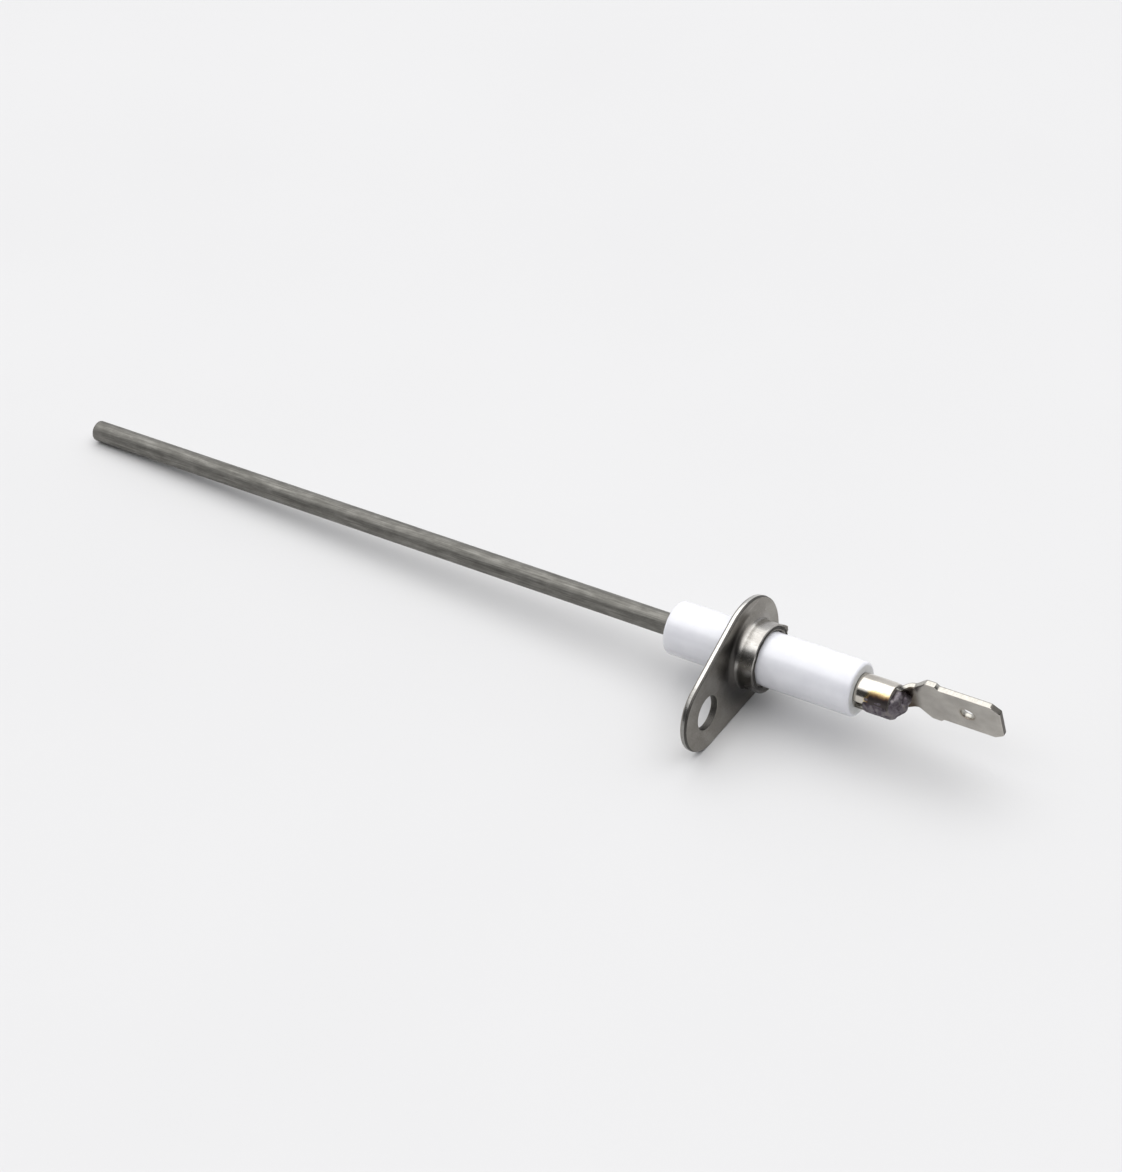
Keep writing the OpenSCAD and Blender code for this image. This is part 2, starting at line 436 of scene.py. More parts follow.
def flange_finish():
    """Satin stainless sheet: cloudy warm grey with fine speckle, faint scratches and painted shade round
    the collar.
    """
    paint = Paint("satin_stainless")
    cloud = paint.grain(4.5, detail=4, distortion=0.4)
    speckle = paint.grain(0.16, detail=3, roughness=0.7)
    both = paint.math("ADD", paint.math("MULTIPLY", cloud, 0.6), paint.math("MULTIPLY", speckle, 0.4))
    colour = paint.ramp(both, (0.34, (0.185, 0.170, 0.150)), (0.52, (0.265, 0.250, 0.225)),
                        (0.70, (0.36, 0.345, 0.315)))
    scratches = paint.span(paint.grain(0.25, detail=2, stretch=(1, 0.08, 1), distortion=0.6),
                           0.66, 0.74)
    colour = paint.mix(paint.math("MULTIPLY", scratches, 0.35), colour, (0.48, 0.46, 0.43))
    _, y, z = paint.unturned(BENCH)
    reach = paint.length(y, z)
    # Painted shade: a dark reflection painted round the collar's root, most on the lug's side
    drawn = paint.math("MULTIPLY", paint.span(reach, 5.4 * MM, 8.6 * MM, 0.88, 0.0, "SMOOTHSTEP"),
                       paint.span(y, 1.0 * MM, -3.5 * MM, 0.15, 1.0, "SMOOTHSTEP"))
    colour = paint.mix(drawn, colour, COLLAR_SHADE)
    roughness = paint.span(both, 0.3, 0.7, 0.40, 0.27)
    normal = paint.bump(paint.grain(6.0, detail=1), 0.10)
    normal = paint.bump(speckle, 0.008, normal)
    return paint.finish(colour, roughness, normal, Metallic=1.0)


def ironed_finish():
    """The collar's wall, ironed by the draw: smooth and bright, with painted shade at its root and low
    down.
    """
    paint = Paint("ironed_stainless")
    cloud = paint.grain(1.8, detail=3, distortion=0.5)
    lines = paint.grain(0.14, detail=3, stretch=(0.12, 1, 1))
    colour = paint.ramp(cloud, (0.30, (0.36, 0.345, 0.32)), (0.52, (0.45, 0.435, 0.41)),
                        (0.70, (0.53, 0.52, 0.49)))
    colour = paint.mix(paint.span(lines, 0.52, 0.72, 0.0, 0.22), colour, (0.13, 0.12, 0.11))
    x, _, z = paint.unturned(BENCH)
    # Painted shade: darker at the wall's root by the fillet and on its lower side
    root = paint.span(x, (PLATE_T + 0.3) * MM, (PLATE_T + 1.2) * MM, 0.85, 0.0, "SMOOTHSTEP")
    low_shade = paint.span(z, 3.0 * MM, 1.2 * MM, 0.0, 0.85, "SMOOTHSTEP")
    colour = paint.mix(paint.math("MAXIMUM", root, low_shade), colour, COLLAR_SHADE)
    roughness = paint.span(cloud, 0.3, 0.7, 0.30, 0.22)
    normal = paint.bump(paint.grain(1.5, detail=2), 0.015)
    normal = paint.bump(lines, 0.003, normal)
    return paint.finish(colour, roughness, normal, Metallic=1.0)


def fractured_finish(name, dark, light):
    """Where the sheet broke off: dark, rough and matt."""
    paint = Paint(name)
    grain = paint.grain(0.10, detail=3)
    colour = paint.ramp(grain, (0.3, dark), (0.7, light))
    roughness = paint.span(grain, 0.3, 0.7, 0.40, 0.60)
    return paint.finish(colour, roughness, paint.bump(grain, 0.012), Metallic=1.0)


def sheared_finish(name, stretch, dull, bright, dark_edge_shade=0.0):
    """The burnished band of a sheared edge: bright, with striations through the sheet's thickness.

    The last argument is how much darker the band is painted round the flange's lug, as shade where the
    lug lies on the floor.
    """
    paint = Paint(name)
    lines = paint.grain(0.14, detail=2, stretch=stretch)
    colour = paint.ramp(lines, (0.3, dull), (0.7, bright))
    if dark_edge_shade:
        # Painted shade round the lug, where the plate lies on the floor
        _, y, _ = paint.unturned(BENCH)
        lug = paint.span(y, (0.8 - PITCH) * MM, (-1.5 - PITCH) * MM, 0.0, dark_edge_shade, "SMOOTHSTEP")
        colour = paint.mix(lug, colour, (0.07, 0.068, 0.065))
    roughness = paint.span(lines, 0.3, 0.7, 0.34, 0.24)
    return paint.finish(colour, roughness, paint.bump(lines, 0.004), Metallic=1.0)


def heat_tint(paint, x, y):
    """Heat from the seam's side of the barrel, and the temper colour that it leaves on the plating."""
    along = paint.span(x, (WELD_X0 + 0.1) * MM, (WELD_X0 + 1.1) * MM)
    seam = paint.math("MULTIPLY", along, paint.span(y, -1.75 * MM, -0.35 * MM, 1.0, 0.0))
    patchy = paint.span(paint.grain(0.9, detail=3, distortion=0.5), 0.25, 0.75, -0.10, 0.10)
    heat = paint.math("ADD", seam, patchy)
    tint = paint.ramp(heat, (0.12, (1, 1, 1)), (0.34, (0.98, 0.86, 0.55)), (0.54, (0.76, 0.58, 0.33)),
                      (0.68, (0.40, 0.26, 0.15)), (0.78, (0.17, 0.12, 0.12)),
                      (0.90, (0.12, 0.11, 0.12)))
    return heat, tint, patchy


def soot_on_neck(paint, x, patchy):
    """How sooty the neck is: most next to the rod's end, fading towards the shoulders."""
    start = paint.span(x, (ROD_END - 0.1) * MM, (ROD_END + 0.1) * MM)
    fading = paint.span(x, (ROD_END + 1.4) * MM, (ROD_END + 2.9) * MM, 0.92, 0.0, "SMOOTHSTEP")
    neck = paint.math("MULTIPLY", start, fading)
    return paint.math("ADD", neck, paint.math("MULTIPLY", patchy, neck))


def terminal_finish():
    """Nickel-plated steel, tinted by the weld's heat: straw and brown to near-black by the bead."""
    paint = Paint("nickel_plate_heat_tinted")
    cloud = paint.grain(2.4, detail=4)
    speckle = paint.grain(0.11, detail=3, roughness=0.7)
    plate = paint.ramp(cloud, (0.32, (0.42, 0.40, 0.365)), (0.68, (0.56, 0.535, 0.49)))
    plate = paint.mix(paint.span(speckle, 0.35, 0.7, 0.0, 0.22), plate, (0.30, 0.28, 0.25))
    x, y, z = paint.unturned(TERMINAL)
    heat, tint, patchy = heat_tint(paint, x, y)
    colour = paint.mix(1.0, plate, tint, blend="MULTIPLY")
    colour = paint.mix(soot_on_neck(paint, x, patchy), colour, (0.075, 0.055, 0.038))
    # A brown stain round the detent hole
    reach = paint.length(paint.math("SUBTRACT", x, (BLADE_END - DETENT_REACH) * MM), z)
    stain = paint.span(reach, (DETENT_R - 0.1) * MM, (DETENT_R + 0.35) * MM, 0.75, 0.0)
    colour = paint.mix(stain, colour, (0.20, 0.14, 0.09))
    # The barrel is brighter and smoother than the tab
    barrel = paint.span(x, (ROD_END - 0.3) * MM, ROD_END * MM, 1.0, 0.0)
    brighter = paint.math("MULTIPLY", barrel, 0.6)
    colour = paint.mix(brighter, colour, (1.5, 1.48, 1.44), blend="MULTIPLY")
    scaled = paint.span(heat, 0.3, 0.7, 0.15, 0.40)
    roughness = paint.math("ADD", scaled, paint.span(barrel, 0, 1, 0.09, 0))
    normal = paint.bump(paint.grain(2.2, detail=1), 0.012)
    normal = paint.bump(speckle, 0.003, normal)
    return paint.finish(colour, roughness, normal, Metallic=1.0)


def weld_finish():
    """Burnt weld metal: dark satin scale with a purple and grey bloom."""
    paint = Paint("burnt_weld_scale")
    cloud = paint.grain(0.75, detail=4, distortion=0.8)
    colour = paint.ramp(cloud, (0.30, (0.050, 0.042, 0.047)), (0.43, (0.105, 0.088, 0.101)),
                        (0.54, (0.170, 0.154, 0.172)), (0.72, (0.26, 0.235, 0.225)))
    pits = paint.grain(0.22, detail=3)
    roughness = paint.span(cloud, 0.3, 0.7, 0.44, 0.60)
    normal = paint.bump(pits, 0.003)
    return paint.finish(colour, roughness, normal, Metallic=0.8)


def floor_finish():
    """Matt white board."""
    paint = Paint("white_board")
    cloud = paint.grain(60, detail=2)
    colour = paint.ramp(cloud, (0.3, (0.635, 0.635, 0.635)), (0.7, (0.645, 0.645, 0.645)))
    normal = paint.bump(paint.grain(0.8, detail=2), 0.01)
    return paint.finish(colour, 0.9, normal, Metallic=0.0, Specular_IOR_Level=0.1)


# ---------------------------------------------------------------- pieces

def make_rod():
    """The drawn rod, with its chamfered, slightly uneven tip."""
    chamfer = 0.35
    pole = 0.0005
    profile = [(TIP_X, pole), (TIP_X, 0.5), (TIP_X, ROD_R - chamfer - 0.05),
               (TIP_X + 0.03, ROD_R - chamfer), (TIP_X + chamfer - 0.04, ROD_R - 0.03),
               (TIP_X + chamfer + 0.06, ROD_R)]
    profile += spread(TIP_X + 1, ROD_END, ROD_R, 90)
    profile += [(ROD_END, 0.5), (ROD_END, pole)]

    def uneven(x, r, a):
        """The cut face is a little uneven, and the drawn skin is never quite round."""
        if r > ROD_R - 0.001:
            return x, r - 0.006 - 0.006 * ripple(x / 6, cos(a), sin(a), 0.8)
        if x < TIP_X + 0.01:
            return x + 0.05 + 0.04 * ripple(x, r * cos(a), r * sin(a), 1.1), r
        return x, r

    bm = bmesh.new()
    turned(bm, profile, 96, uneven)
    # The tiny loop in the middle of each end becomes one vertex
    bmesh.ops.remove_doubles(bm, verts=bm.verts, dist=2.4 * pole * MM)
    return place(finish_mesh(bm, "rod"), "electrode_rod", "rod_alloy", rod_finish())


def make_ceramic():
    """The insulator tube, with rounded ends and a cement pocket in each."""
    floor_x = CERAMIC_X0 + POCKET_DEPTH
    bevel = 0.08
    front = [(floor_x, BORE_R), (floor_x, POCKET_R), (CERAMIC_X0 + bevel, POCKET_R),
             (CERAMIC_X0, POCKET_R + bevel), (CERAMIC_X0, CERAMIC_R - TUBE_EDGE - 0.1)]
    front += arc(CERAMIC_X0 + TUBE_EDGE, CERAMIC_R - TUBE_EDGE, TUBE_EDGE, 180, 90, 8)
    back = [(CERAMIC_X0 + CERAMIC_X1 - x, r) for x, r in reversed(front)]
    wall = spread(CERAMIC_X0 + 1, CERAMIC_X1 - 1, CERAMIC_R, 40)
    profile = front + wall + back

    def uneven(x, r, a):
        """The glazed wall is a little wavy, and stays inside the CAD tube's."""
        if r > POCKET_R + 0.2:
            return x, r - 0.012 - 0.012 * ripple(x, r * cos(a), r * sin(a), 3.5)
        return x, r

    bm = bmesh.new()
    loops = turned(bm, profile, 128, uneven)
    join_loops(bm, loops[-1], loops[0])
    for face in bm.faces:
        centre = face.calc_center_median() / MM
        if hypot(centre.y, centre.z) < CERAMIC_R - TUBE_EDGE:
            face.material_index = BARE
    piece = finish_mesh(bm, "ceramic_tube", weighted=True)
    return place(piece, "ceramic_insulator", "white_ceramic", ceramic_finish(), bare_ceramic_finish())


def flange_outline():
    """The plate's outline as (y, z): two arcs joined by the flanks that touch both."""
    touch = 90 + degrees(asin((PLATE_R - LUG_R) / PITCH))
    big = arc(0, 0, PLATE_R, -touch, touch, 72)
    lug = arc(-PITCH, 0, LUG_R, touch, 360 - touch, 48)

    def flank(a, b):
        return [(a[0] + (b[0] - a[0]) * i / 8, a[1] + (b[1] - a[1]) * i / 8) for i in range(1, 8)]

    return big + flank(big[-1], lug[0]) + lug + flank(lug[-1], big[0])


def edge_profile(roll, thickness):
    """(inset, x) steps of a sheared edge: die-rolled at x 0, then burnished, then broken off.

    The first and last steps lie in the flat faces and keep their shading flat.
    """
    angles = [radians(a) for a in (90, 68, 45, 22, 0)]
    rolled = [(SKIN + roll * (1 - cos(a)), roll * 0.8 * (1 - sin(a))) for a in angles]
    return ([(SKIN + roll + MARGIN, 0.0)] + rolled
            + [(SKIN, thickness * BURNISHED), (0.035, thickness * TORN), (0.06, thickness - 0.05),
               (0.12, thickness), (0.12 + MARGIN, thickness)])


# Material of each band of edge_profile(), for the plate's outline and for its screw hole
EDGE_BANDS = (PLAIN,) * 5 + (CUT,) + (BROKEN,) * 3 + (PLAIN,)
HOLE_BANDS = (PLAIN,) * 5 + (BROKEN,) * 3 + (PLAIN,) * 2


def collar_profile():
    """The drawn collar's section, from its mouth in the front face round the rim to the rear face."""
    mouth = arc(COLLAR_MOUTH, COLLAR_BORE_R + COLLAR_MOUTH, COLLAR_MOUTH, 180, 270, 10)
    bore = spread(COLLAR_MOUTH + 0.4, COLLAR_H - 0.2, COLLAR_BORE_R, 4)
    round_r = 0.16
    groove = 0.08
    low, high = COLLAR_BORE_R + 0.14, COLLAR_R - round_r
    rim = [(COLLAR_H - 0.16, COLLAR_BORE_R + 0.01), (COLLAR_H - 0.06, COLLAR_BORE_R + 0.05)]
    # The end of the wall, with a groove between its two lips
    for i in range(9):
        x = COLLAR_H - groove + groove * cos(2 * pi * i / 8)
        rim.append((x, low + (high - low) * i / 8))
    rim += arc(COLLAR_H - round_r, COLLAR_R - round_r, round_r, 67, 90, 2)
    root_x = PLATE_T + COLLAR_FILLET
    wall = spread(COLLAR_H - 0.4, root_x + 0.2, COLLAR_R, 4)
    fillet = arc(root_x, COLLAR_R + COLLAR_FILLET, COLLAR_FILLET, 270, 180, 12)
    front_face = [(0.0, mouth[0][1] + MARGIN)]
    rear_face = [(PLATE_T, fillet[-1][1] + MARGIN)]
    return front_face + mouth + bore + rim + wall + fillet + rear_face


def ring_ripple(a, radius, z, size):
    """Noise along a circle, so that it closes after a full turn."""
    return ripple(cos(a) * radius, sin(a) * radius, z, size)


def uneven_rim(x, r, a):
    """The drawn rim runs out a little, and a sliver of burr stands up at one place."""
    root_x = PLATE_T + COLLAR_FILLET
    lift = (max(0.0, x - root_x) / (COLLAR_H - root_x)) ** 3
    run_out = 0.07 * ring_ripple(a, 3, 0.5, 1.4) + 0.03 * ring_ripple(a, 9, 2, 1.1)
    off = (a - BURR_ANGLE + BENCH + pi) % (2 * pi) - pi
    burr = max(0.0, 1 - (off / BURR_SPREAD) ** 2) * (0.34 + 0.16 * ring_ripple(a, 20, 0, 0.8))
    outer = max(0.0, min(1.0, (r - COLLAR_BORE_R) / RIM_W))
    return x + lift * (run_out - 0.06 + burr * outer), r + lift * burr * 0.6 * outer


def collar_material(face):
    """The collar is ironed outside, broken off in the middle of its rim and plain elsewhere."""
    centre = face.calc_center_median() / MM
    height = hypot(centre.y, centre.z) - COLLAR_BORE_R
    if PLATE_T + 0.5 < centre.x < COLLAR_H - 0.02 and height > RIM_W - 0.1:
        return IRONED
    if centre.x > COLLAR_H - 0.3 and LIP < height < RIM_W - LIP:
        return BROKEN
    return PLAIN


def join_bands(bm, loops, bands):
    """Joins each loop to the next, with the material of its band."""
    for a, b, material in zip(loops, loops[1:], bands):
        join_loops(bm, a, b, material)


def make_flange():
    """The plate and its drawn collar, one sheet of steel."""
    bm = bmesh.new()
    outline = flange_outline()
    edge = [add_loop(bm, [(x, y, z) for y, z in inset(outline, i)])
            for i, x in edge_profile(OUTLINE_ROLL, PLATE_T)]
    join_bands(bm, edge, EDGE_BANDS)
    hole = []
    for i, x in edge_profile(HOLE_ROLL, PLATE_T):
        circle = arc(-PITCH, 0, HOLE_R + i, 0, 360, 64)[:-1]
        hole.append(add_loop(bm, [(x, y, z) for y, z in circle]))
    join_bands(bm, hole, HOLE_BANDS)
    before = len(bm.faces)
    collar = turned(bm, collar_profile(), 128, uneven_rim)
    for face in list(bm.faces)[before:]:
        face.material_index = collar_material(face)
    fill_between(bm, edge[0], [hole[0], collar[0]])
    fill_between(bm, edge[-1], [hole[-1], collar[-1]])
    piece = finish_mesh(bm, "flange", turn=BENCH, sharp=40, weighted=True)
    # The plate's sheared band, with painted shade round the lug
    cut = sheared_finish("sheared_flange_edge", (0.05, 1, 1), (0.50, 0.49, 0.46),
                         (0.66, 0.65, 0.62), dark_edge_shade=0.6)
    broken = fractured_finish("fractured_flange_edge", (0.045, 0.042, 0.040), (0.12, 0.115, 0.105))
    return place(piece, "mounting_flange", "flange_steel", flange_finish(), cut, ironed_finish(), broken)


def half_blank():
    """Half of the terminal's flat blank as (x, across), from the barrel's end along to the blade's."""
    barrel_w = pi * SHEET_MID_R - SEAM_W / 2
    turn = radians(FLARE_ANGLE)
    shoulder_x = SHOULDER_END - SHOULDER_L
    rise = (SHOULDER_W - NECK_W) / 2 - (FLARE_R + SHOULDER_R) * (1 - cos(turn))
    flare_x = shoulder_x - (FLARE_R + SHOULDER_R) * sin(turn) - rise / tan(turn)
    return (
        arc(CERAMIC_X1 + CORNER_R, barrel_w - CORNER_R, CORNER_R, 180, 90, 4)
        + arc(ROD_END - CORNER_R, barrel_w - CORNER_R, CORNER_R, 90, 0, 4)
        + arc(ROD_END + CORNER_R, NECK_W / 2 + CORNER_R, CORNER_R, 180, 270, 6)
        + arc(flare_x, NECK_W / 2 + FLARE_R, FLARE_R, -90, FLARE_ANGLE - 90, 8)
        + arc(shoulder_x, SHOULDER_W / 2 - SHOULDER_R, SHOULDER_R, 90 + FLARE_ANGLE, 90, 6)
        + [(SHOULDER_END - 0.06, SHOULDER_W / 2), (SHOULDER_END, SHOULDER_W / 2 - 0.05),
           (BLADE_START - 0.03, BLADE_W / 2 + 0.05), (BLADE_START + 0.06, BLADE_W / 2),
           (BLADE_END - CHAMFER_L, BLADE_W / 2), (BLADE_END - 0.06, BLADE_W / 2 - CHAMFER_W + 0.04),
           (BLADE_END, BLADE_W / 2 - CHAMFER_W - 0.05)])


def bend(point):
    """A point of the flat blank (x, across, height from the inner face), rolled as the sheet is."""
    x, across, height = point
    t = min(1.0, max(0.0, (x - UNROLL_X0) / (UNROLL_X1 - UNROLL_X0)))
    curl = (1 - t * t * (3 - 2 * t)) / SHEET_MID_R
    lift = height - SHEET_T / 2
    dip = NECK_DIP * max(0.0, 1 - ((x - NECK_DIP_X) / NECK_DIP_SPREAD) ** 2) ** 2
    if curl < 1e-4:
        return Vector((x, SHEET_MID_R + lift - dip, across))
    a = across * curl
    return Vector((x, SHEET_MID_R - dip - (1 - cos(a)) / curl + lift * cos(a),
                   sin(a) / curl + lift * sin(a)))


def blank_edge(roll):
    """(inset, height) steps of the terminal's edges, softened at both faces."""
    near = [(roll + MARGIN, 0.0), (roll, 0.0), (roll * 0.3, roll * 0.3), (0.0, roll)]
    return near + [(i, SHEET_T - h) for i, h in reversed(near)]


# Material of each band of blank_edge(): plated, then the cut, then the outer face's corner, painted dark
# as the reflection along the edge
BLANK_BANDS = (PLAIN,) * 3 + (CUT,) + (DARK_EDGE_SLOT,) * 2 + (PLAIN,)


def flat_loop(bm, points, height):
    """A loop of the flat blank: (x, across) at a height."""
    return add_loop(bm, [(x, y, height) for x, y in points])


def slice_blank(bm):
    """Cuts the blank's faces into strips, along where it rolls and across where it opens out."""
    cuts = [((0, t * 0.2 * MM, 0), (0, 1, 0)) for t in range(-27, 28)]
    cuts += [(((UNROLL_X0 + s * 0.1) * MM, 0, 0), (1, 0, 0)) for s in range(0, 30)]
    for origin, normal in cuts:
        bmesh.ops.bisect_plane(bm, geom=bm.verts[:] + bm.edges[:] + bm.faces[:], dist=1e-7,
                               plane_co=origin, plane_no=normal)


def make_terminal():
    """The tab terminal: a flat blank with its detent hole, rolled into a barrel at one end."""
    bm = bmesh.new()
    upper = half_blank()
    outline = list(reversed(upper)) + [(x, -y) for x, y in upper]
    edge = [flat_loop(bm, inset(outline, i), h) for i, h in blank_edge(0.12)]
    hole = []
    for i, h in blank_edge(0.10):
        circle = arc(BLADE_END - DETENT_REACH, 0, DETENT_R + i, 0, 360, 32)[:-1]
        hole.append(flat_loop(bm, circle, h))
    join_bands(bm, edge, BLANK_BANDS)
    join_bands(bm, hole, BLANK_BANDS)
    # The cut across the blade's end takes the dark finish too, as painted dark reflection along the
    # blade's end
    for face in bm.faces:
        if face.material_index == CUT and face.calc_center_median().x > (BLADE_END - 1) * MM:
            face.material_index = DARK_EDGE_SLOT
    fill_between(bm, edge[0], [hole[0]])
    fill_between(bm, edge[-1], [hole[-1]])
    slice_blank(bm)
    for vert in bm.verts:
        vert.co = bend(vert.co / MM) * MM
    piece = finish_mesh(bm, "tab_terminal", turn=TERMINAL, sharp=38, weighted=True)
    cut = sheared_finish("sheared_terminal_edge", (1, 0.06, 1), (0.40, 0.385, 0.35),
                         (0.52, 0.505, 0.46))
    # A dark fractured finish, painted dark as the reflection along the terminal's edges
    dark_edge_shade = fractured_finish("cut_terminal_end", (0.09, 0.085, 0.075), (0.18, 0.17, 0.155))
    return place(piece, "terminal_tab", "plated_steel", terminal_finish(), cut, dark_edge_shade)


def drop(x, a, reach, radius):
    """A weld drop as (centre, radius), from its place along, round and away from the axis."""
    return (x, reach * cos(a), reach * sin(a)), radius


def seam_drops():
    """The run along the barrel's seam: rows of drops side by side, proudest in the middle."""
    drops = []
    count = 16
    for i in range(count):
        x = WELD_X0 + 0.5 + (ROD_END - WELD_X0 - 0.85) * i / (count - 1)
        for side, proud in ((-2, 0.04), (-1, 0.13), (0, 0.17), (1, 0.13), (2, 0.04)):
            a = pi + side * 0.31 + 0.05 * ripple(i, side, 0, 2.7)
            radius = 0.56 - 0.06 * abs(side) + 0.05 * ripple(i, 7, side, 2.3)
            reach = BARREL_R + proud + 0.04 * ripple(i, 3, side, 2.9) - radius
            drops.append(drop(x, a, reach, radius))
    return drops


def roll_drops():
    """The roll of metal over the barrel's end, on the seam's side."""
    drops = []
    for side in range(-4, 5):
        radius = 0.52 + 0.06 * ripple(side, 4, 1, 1.3)
        reach = BARREL_R + 0.06 - 0.012 * side * side - radius
        x = ROD_END + 0.10 + 0.08 * ripple(side, 8, 2, 1.7)
        drops.append(drop(x, pi + side * 0.21, reach, radius))
    return drops


def heap_drops():
    """The heap over the rod's end: a ring of drops, held back from the neck, and four on top."""
    drops = []
    count = 10
    for k in range(count):
        radius = 0.75 + 0.08 * ripple(k, 9, 0, 1.3)
        reach = 1.05 + 0.12 * ripple(k, 2, 0, 1.9)
        x = ROD_END + 0.30 + 0.18 * ripple(k, 5, 5, 1.5)
        (x, y, z), radius = drop(x, 2 * pi * k / count, reach, radius)
        drops.append(((x, min(y, 0.95), z), radius))
    return drops + [((ROD_END + 0.75, -0.35, -0.25), 0.92), ((ROD_END + 0.95, 0.35, 0.35), 0.72),
                    ((ROD_END + 0.70, 0.2, -0.8), 0.66), ((ROD_END + 0.9, 0.75, -0.1), 0.75)]


def melted_drops():
    """One relaxed skin round all the drops."""
    bm = bmesh.new()
    for centre, radius in seam_drops() + roll_drops() + heap_drops():
        at = Matrix.Translation(Vector(centre) * MM)
        bmesh.ops.create_icosphere(bm, subdivisions=3, radius=radius * MM, matrix=at)
    rough = finish_mesh(bm, "weld_drops")
    melt = rough.modifiers.new("melt", "REMESH")
    melt.mode = "VOXEL"
    melt.voxel_size = 0.07 * MM
    relax = rough.modifiers.new("relax", "SMOOTH")
    relax.factor = 0.5
    relax.iterations = 24
    graph = bpy.context.evaluated_depsgraph_get()
    skin = bpy.data.meshes.new_from_object(rough.evaluated_get(graph))
    bpy.data.objects.remove(rough)
    return skin


def make_weld():
    """The bead: overlapping drops melted into one lumpy skin."""
    skin = melted_drops()
    bm = bmesh.new()
    bm.from_mesh(skin)
    bpy.data.meshes.remove(skin)
    for vert in bm.verts:
        p = vert.co / MM
        push = 0.045 * ripple(p.x, p.y, p.z, 0.8) + 0.005 * ripple(p.x, p.y, p.z, 0.3)
        moved = p + vert.normal * push
        moved.x = min(moved.x, WELD_X1)
        # Past the rod's end the bead stops just inside the neck
        if moved.x > ROD_END:
            moved.y = min(moved.y, ROD_R + 0.1)
        vert.co = moved * MM
    piece = finish_mesh(bm, "weld_bead", turn=TERMINAL, sharp=80)
    return place(piece, "terminal_weld", "burnt_weld", weld_finish())


def cement_ring(name, node, profile, amount, steps=96):
    """A closed ring of cement from a section of (x, r), with its free faces roughened."""
    def uneven(x, r, a):
        return x + amount * ripple(x * 2, r * cos(a), r * sin(a), 0.45), r

    bm = bmesh.new()
    loops = turned(bm, profile, steps, uneven)
    join_loops(bm, loops[-1], loops[0])
    return place(finish_mesh(bm, name, sharp=60), node, "cement", cement_finish())


def make_cements():
    """Cement in the collar and in the tube's two pockets."""
    # The film reaches just into the ceramic and the collar that it sticks to
    inner, outer = CERAMIC_R - 0.03, COLLAR_BORE_R + 0.02
    mouth, rim = COLLAR_MOUTH + 0.05, COLLAR_H - 0.5
    film = [(mouth, outer), (mouth, inner), (rim, inner), (rim - 0.04, (inner + outer) / 2),
            (rim, outer)]
    cement_ring("cement_in_collar", "collar_cement", film, 0.05, steps=128)

    rod = ROD_R - 0.02
    x = CERAMIC_X0
    front = [(x - SEAL_CROWN + 0.05, rod), (x - 0.18, ROD_R + 0.12), (x - 0.06, ROD_R + 0.32),
             (x - 0.01, POCKET_R - 0.1), (x + 0.03, POCKET_R),
             (x + POCKET_DEPTH, POCKET_R), (x + POCKET_DEPTH, rod)]
    cement_ring("cement_front", "front_cement_seal", front, 0.04)

    x = CERAMIC_X1
    rear = [(x - POCKET_DEPTH, rod), (x - POCKET_DEPTH, POCKET_R), (x - 0.03, POCKET_R),
            (x + 0.01, POCKET_R - 0.15), (x - 0.02, rod)]
    cement_ring("cement_rear", "rear_cement_seal", rear, 0.04)


# ---------------------------------------------------------------- studio

def make_floor():
    """A matt board under the plate's lower flank and the rod's tip."""
    mesh = bpy.data.meshes.new("floor")
    # Half the board's width, in metres
    half = 12.0
    mesh.from_pydata([(-half, -half, 0), (half, -half, 0), (half, half, 0), (-half, half, 0)],
                     [], [(0, 1, 2, 3)])
    floor = bpy.data.objects.new("floor", mesh)
    bpy.context.scene.collection.objects.link(floor)
    floor.location = (0, 0, -PLATE_R * MM)
    floor.rotation_euler = (0, atan2(FLOOR_SLOPE, 1), 0)
    mesh.materials.append(floor_finish())


def make_lamp():
    """One large soft light overhead, leaning a little from the back."""
    lamp = bpy.data.lights.new("overhead", "SUN")
    lamp.angle = radians(84)
    lamp.energy = 1.2
    lamp.color = (1.0, 0.98, 0.935)
    overhead = bpy.data.objects.new("overhead", lamp)
    towards = Vector((-0.02, 0.06, 1.0))
    overhead.rotation_mode = "QUATERNION"
    overhead.rotation_quaternion = towards.to_track_quat("Z", "Y")
    bpy.context.scene.collection.objects.link(overhead)


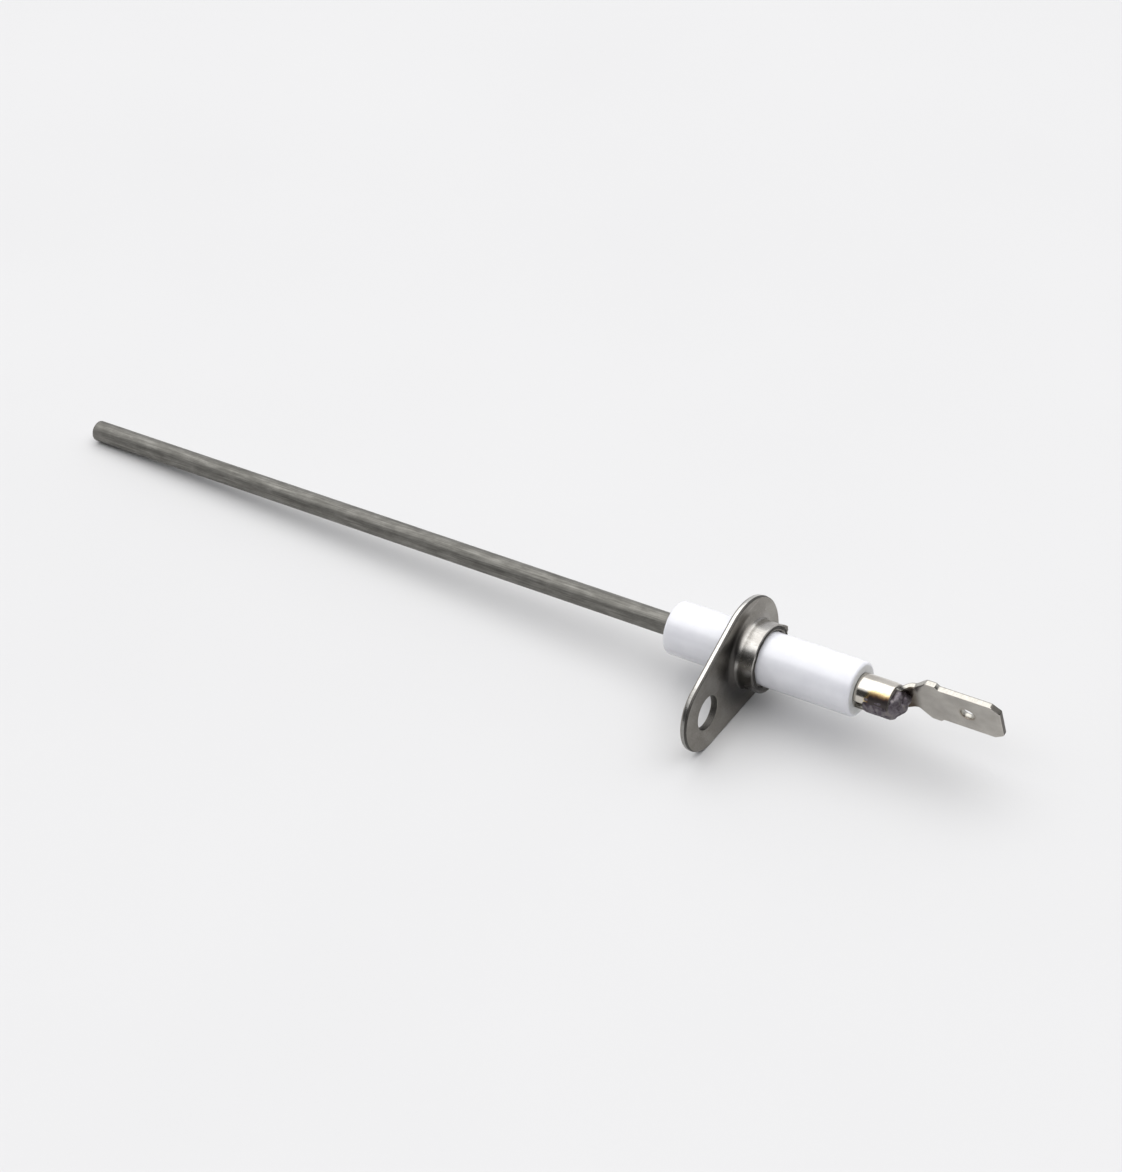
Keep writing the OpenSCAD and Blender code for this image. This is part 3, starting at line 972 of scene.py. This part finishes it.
def make_room():
    """A pale room: a bright ceiling and back wall, a dark front wall and a pale strip low down."""
    front_wall, back_wall, ceiling = 0.06, 0.84, 1.5
    towards_front = (0.5, -0.87, 0)
    # How far towards the front the walls start and end to darken
    dark_from, dark_to = -0.1, 0.35
    # Heights as Z of the direction: the top of the pale strip, and where the walls meet the ceiling
    strip_z0, strip_z1 = 0.01, 0.08
    ceiling_z0, ceiling_z1 = 0.58, 0.76

    world = bpy.data.worlds.new("room")
    bpy.context.scene.world = world
    world.use_nodes = True
    nodes, links = world.node_tree.nodes, world.node_tree.links
    background = nodes["Background"]
    sky = nodes.new("ShaderNodeTexCoord")
    split = nodes.new("ShaderNodeSeparateXYZ")
    links.new(sky.outputs["Generated"], split.inputs["Vector"])

    def fade(value, low, high, to_low, to_high):
        made = nodes.new("ShaderNodeMapRange")
        made.interpolation_type = "SMOOTHSTEP"
        links.new(value, made.inputs["Value"])
        for socket, number in zip(("From Min", "From Max", "To Min", "To Max"),
                                  (low, high, to_low, to_high)):
            made.inputs[socket].default_value = number
        return made.outputs["Result"]

    def combine(operation, a, b):
        made = nodes.new("ShaderNodeMath")
        made.operation = operation
        links.new(a, made.inputs[0])
        links.new(b, made.inputs[1])
        return made.outputs["Value"]

    frontness = nodes.new("ShaderNodeVectorMath")
    frontness.operation = "DOT_PRODUCT"
    frontness.inputs[1].default_value = towards_front
    links.new(sky.outputs["Generated"], frontness.inputs[0])
    height = split.outputs["Z"]
    walls = fade(frontness.outputs["Value"], dark_from, dark_to, back_wall, front_wall)
    walls = combine("MAXIMUM", walls, fade(height, strip_z0, strip_z1, back_wall, 0.0))
    below = fade(height, ceiling_z0, ceiling_z1, 1.0, 0.0)
    above = fade(height, ceiling_z0, ceiling_z1, 0.0, ceiling)
    links.new(combine("ADD", combine("MULTIPLY", walls, below), above), background.inputs["Strength"])
    background.inputs["Color"].default_value = (0.965, 0.97, 1.0, 1)
    bpy.context.scene.view_settings.view_transform = "Standard"


def make_camera():
    """From the terminal's side and above, with a slight roll."""
    position = Vector((147.35, -227.5, 222.9)) * MM
    target = Vector((-28.0, 0.3, 0)) * MM
    roll = radians(-6.48)
    data = bpy.data.cameras.new("camera")
    data.lens = 84.84
    data.clip_start = 0.01
    camera = bpy.data.objects.new("camera", data)
    camera.location = position
    aim = (target - position).to_track_quat("-Z", "Y")
    camera.rotation_mode = "QUATERNION"
    camera.rotation_quaternion = aim @ Quaternion((0, 0, 1), roll)
    bpy.context.scene.collection.objects.link(camera)
    bpy.context.scene.camera = camera


make_camera()
make_floor()
make_lamp()
make_room()
make_rod()
make_ceramic()
make_flange()
make_terminal()
make_weld()
make_cements()
